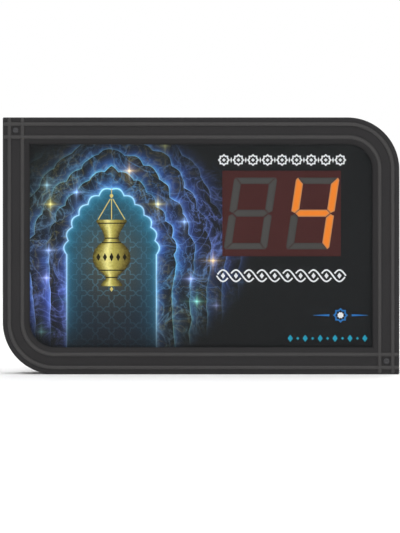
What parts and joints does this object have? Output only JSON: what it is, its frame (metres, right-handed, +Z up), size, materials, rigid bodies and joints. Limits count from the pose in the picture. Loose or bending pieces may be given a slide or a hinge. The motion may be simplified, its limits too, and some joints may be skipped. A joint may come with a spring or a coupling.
{
  "type": "prayer unit counter display",
  "caption": "Framed wall or shelf counter with a lit segment display behind a clear printed face, side push buttons, rocker switch, sockets and keyhole hangers.",
  "frame": {"origin": "on the resting plane, under the middle of the case: the bottom centre of the overall box", "axes": "+X to the right as seen from the front, +Y from the front to the back, +Z up"},
  "size_m": [0.318, 0.038, 0.206],
  "materials": {
    "frame_plastic": "fine moulded texture, satin",
    "recess_plastic": "satin",
    "stud_metal": "black plated, satin",
    "foam_tape": "matt foam",
    "clear_acrylic": "clear, polished",
    "print": "printed sheet behind the acrylic",
    "mask": "dark maroon, satin",
    "digit_housing": "dark grey",
    "dark_diffuser": "smoky diffuser, unlit",
    "lit_diffuser": "diffuser, lit orange",
    "led": "phosphor chip",
    "tinned_metal": "tinned",
    "circuit_board": "green solder mask",
    "chip_black": "moulded epoxy",
    "connector_black": "moulded",
    "connector_cream": "moulded nylon",
    "brass_parts": "bright",
    "zinc_screw": "zinc plated",
    "black_screw": "black oxide",
    "can_metal": "drawn can",
    "heat_sink": "extruded",
    "capacitor": "blue sleeve",
    "ribbon": "grey flat cable",
    "cover_plastic": "moulded texture",
    "hanger_steel": "zinc plated",
    "bumper_rubber": "matt",
    "socket_black": "moulded",
    "nut_metal": "nickel plated",
    "rocker_black": "gloss",
    "button_bush": "nickel plated",
    "phenolic": "brown laminate",
    "count_green": "gloss",
    "reset_red": "gloss",
    "spring_steel": "wire",
    "lead_red": "insulated lead",
    "lead_black": "insulated lead",
    "lead_grey": "insulated lead",
    "lead_blue": "insulated lead"
  },
  "bodies": {
    "case": {"front_frame": "frame_plastic", "corner_studs": "stud_metal", "panel_tape": "foam_tape", "front_glass": "clear_acrylic", "printed_sheet": "print", "display_mask": "mask", "tens_housing": "digit_housing", "units_housing": "digit_housing", "tens_segments": "dark_diffuser", "units_lit_segments": "lit_diffuser", "units_dark_segments": "dark_diffuser", "led_chips": "led", "module_pins": "tinned_metal", "display_board": "circuit_board", "driver_chips": "chip_black", "display_header": "connector_black", "display_standoffs": "brass_parts", "display_screws": "zinc_screw", "control_board": "circuit_board", "chip_socket": "chip_black", "controller_chip": "chip_black", "crystal": "can_metal", "voltage_regulator": "chip_black", "heat_sink": "heat_sink", "filter_capacitors": "capacitor", "board_headers": "connector_cream", "board_spacers": "connector_cream", "board_nuts": "zinc_screw", "ribbon_cable": "ribbon", "ribbon_plugs": "connector_black", "back_cover": "cover_plastic", "cover_screws": "black_screw", "mounting_screws": "zinc_screw", "hanger_plates": "hanger_steel", "hanger_rivets": "hanger_steel", "wall_bumpers": "bumper_rubber", "control_recess": "recess_plastic", "dc_socket": "socket_black", "dc_pin": "tinned_metal", "dc_nut": "nut_metal", "sensor_socket": "socket_black", "sensor_nut": "nut_metal", "switch_housing": "socket_black", "switch_terminals": "brass_parts", "button_housings": "button_bush", "button_nuts": "nut_metal", "button_bases": "phenolic", "button_terminals": "brass_parts", "count_spring": "spring_steel", "reset_spring": "spring_steel", "power_lead": "lead_red", "switch_lead": "lead_black", "sensor_lead": "lead_grey", "button_lead": "lead_blue"},
    "count_button": {"count_button": "count_green", "count_contact": "brass_parts"},
    "reset_button": {"reset_button": "reset_red", "reset_contact": "brass_parts"},
    "power_rocker": {"switch_rocker": "rocker_black"}
  },
  "joints": [
    {"name": "count_press", "type": "slide", "parent": "case", "child": "count_button", "axis": [-1, 0, 0], "range_m": [0, 0.0015], "stiffness_N_per_m": 600, "springref_m": -0.0015, "deforming": ["count_spring"]},
    {"name": "reset_press", "type": "slide", "parent": "case", "child": "reset_button", "axis": [-1, 0, 0], "range_m": [0, 0.0015], "stiffness_N_per_m": 600, "springref_m": -0.0015, "deforming": ["reset_spring"]},
    {"name": "power_rock", "type": "hinge", "parent": "case", "child": "power_rocker", "pos_m": [0.149, 0.001, 0.088], "axis": [0, 1, 0], "range_deg": [0, 20]}
  ]
}
